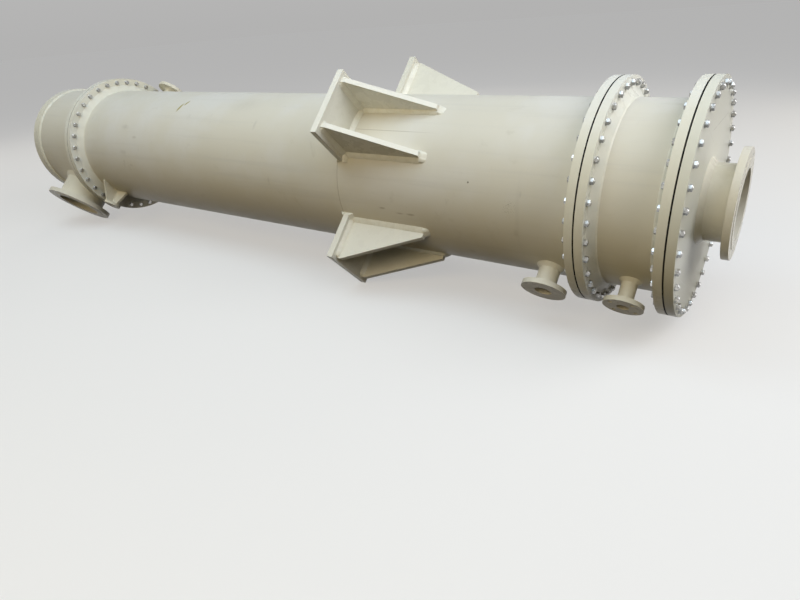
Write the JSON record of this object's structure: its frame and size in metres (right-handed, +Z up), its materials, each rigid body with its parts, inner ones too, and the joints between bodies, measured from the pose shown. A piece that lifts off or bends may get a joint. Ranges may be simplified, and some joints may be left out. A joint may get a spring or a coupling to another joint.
{
  "type": "falling film absorber",
  "caption": "Plastic falling film absorber lying on its side, with bolted end chambers, gas, water and liquid nozzles and gusseted support lugs.",
  "frame": {"origin": "under the middle of the overall box, at floor level", "axes": "+X along the vessel's axis towards the gas inlet, +Z up as the vessel lies on the floor"},
  "size_m": [5.014, 1.1158, 1.1158],
  "materials": {
    "shell_pp": "cream polypropylene sheet or pipe, satin",
    "flange_pp": "cream polypropylene sheet or pipe, satin",
    "nozzle_pp": "cream polypropylene sheet or pipe, satin",
    "lug_pp": "cream polypropylene sheet or pipe, satin",
    "gasket_rubber": "black sheet rubber",
    "zinc_steel": "zinc plated bolts"
  },
  "bodies": {
    "root": {"channel_shell": "shell_pp", "shell_upper_course": "shell_pp", "shell_lower_course": "shell_pp", "sump_shell": "shell_pp", "upper_tube_sheet": "shell_pp", "lower_tube_sheet": "shell_pp", "cover_plate": "flange_pp", "channel_top_flange": "flange_pp", "channel_bottom_flange": "flange_pp", "shell_top_flange": "flange_pp", "shell_bottom_flange": "flange_pp", "sump_flange": "flange_pp", "sump_end_band": "flange_pp", "sump_end_plate": "flange_pp", "gas_inlet_pipe": "nozzle_pp", "gas_inlet_flange": "nozzle_pp", "gas_outlet_pipe": "nozzle_pp", "gas_outlet_flange": "nozzle_pp", "water_outlet_pipe": "nozzle_pp", "water_outlet_flange": "nozzle_pp", "water_inlet_pipe": "nozzle_pp", "water_inlet_flange": "nozzle_pp", "liquid_inlet_pipe": "nozzle_pp", "liquid_inlet_flange": "nozzle_pp", "shell_drain_pipe": "nozzle_pp", "shell_drain_flange": "nozzle_pp", "shell_drain_gussets": "nozzle_pp", "acid_outlet_pipe": "nozzle_pp", "acid_outlet_flange": "nozzle_pp", "lug_front_upper_plate": "lug_pp", "lug_front_upper_gussets": "lug_pp", "lug_front_lower_plate": "lug_pp", "lug_front_lower_gussets": "lug_pp", "lug_rear_upper_plate": "lug_pp", "lug_rear_upper_gussets": "lug_pp", "lug_rear_lower_plate": "lug_pp", "lug_rear_lower_gussets": "lug_pp", "cover_gasket": "gasket_rubber", "channel_gasket": "gasket_rubber", "sump_gasket": "gasket_rubber"}
  },
  "joints": []
}
